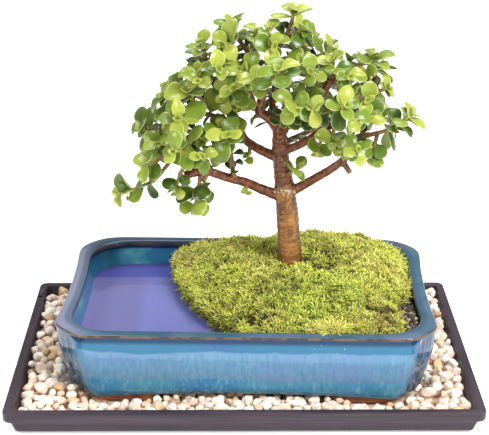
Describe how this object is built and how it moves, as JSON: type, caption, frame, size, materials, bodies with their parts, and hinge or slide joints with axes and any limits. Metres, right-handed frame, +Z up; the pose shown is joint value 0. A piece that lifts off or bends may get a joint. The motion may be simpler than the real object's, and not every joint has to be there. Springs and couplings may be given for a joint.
{
  "type": "jade bonsai",
  "caption": "Dwarf jade bonsai with a reddish trunk and thick round leaves, rising from moss beside a water basin in a blue glazed pot that stands on pebbles in a humidity tray.",
  "frame": {"origin": "middle of the humidity tray's underside", "axes": "+X to the right along the tray's length, +Y to the back, +Z up the trunk"},
  "size_m": [0.32, 0.225, 0.2664],
  "materials": {
    "tray": "satin plum-brown",
    "pebbles": "smooth cream pebbles",
    "glaze": "glossy blue glaze",
    "clay": "bare terracotta",
    "water": "still water",
    "soil": "damp dark soil",
    "moss": "soft moss",
    "screen": "black mesh",
    "bark": "smooth bark",
    "leaf": "waxy leaf"
  },
  "bodies": {
    "root": {"humidity_tray": "tray", "gravel": "pebbles", "pot": "glaze", "water": "water", "soil": "soil", "moss": "moss", "drain_screen_1": "screen", "drain_screen_2": "screen", "trunk": "bark", "spray_low_tip": "leaf", "spray_low_drop": "leaf", "spray_under_stub": "leaf", "spray_far_left": "leaf", "spray_left_face": "leaf", "spray_left_tip_mid": "leaf", "spray_left_upper_tip": "leaf", "spray_left_upper_low": "leaf", "spray_big_face": "leaf", "spray_fan_tip": "leaf", "spray_fan_side": "leaf", "spray_dark_big": "leaf", "spray_fan_front": "leaf", "spray_top_left": "leaf", "spray_upper_mid": "leaf", "spray_shoot_mid": "leaf", "spray_top": "leaf", "spray_top_side": "leaf", "spray_front_rosette": "leaf", "spray_front_low": "leaf", "spray_mid_top": "leaf", "spray_right_a": "leaf", "spray_right_b": "leaf", "spray_right_c": "leaf", "spray_right_d": "leaf", "spray_right_top": "leaf", "spray_right_e": "leaf", "spray_right_f": "leaf", "spray_right_g": "leaf", "spray_right_twig": "leaf", "spray_right_low_a": "leaf", "spray_right_low_b": "leaf", "spray_right_low_c": "leaf", "spray_trunk_side": "leaf", "spray_knuckle_drop": "leaf", "spray_low_bud": "leaf", "spray_riser_top": "leaf", "spray_riser_side": "leaf", "spray_sweep_a": "leaf", "spray_sweep_b": "leaf", "spray_elbow_face": "leaf", "spray_crown_side": "leaf", "spray_crown_right": "leaf", "spray_front_right": "leaf", "spray_back_left": "leaf", "spray_back_left_up": "leaf", "spray_back_right": "leaf", "spray_back_right_up": "leaf", "spray_back_mid": "leaf", "spray_back_far_left": "leaf", "spray_back_far_right": "leaf"}
  },
  "joints": []
}
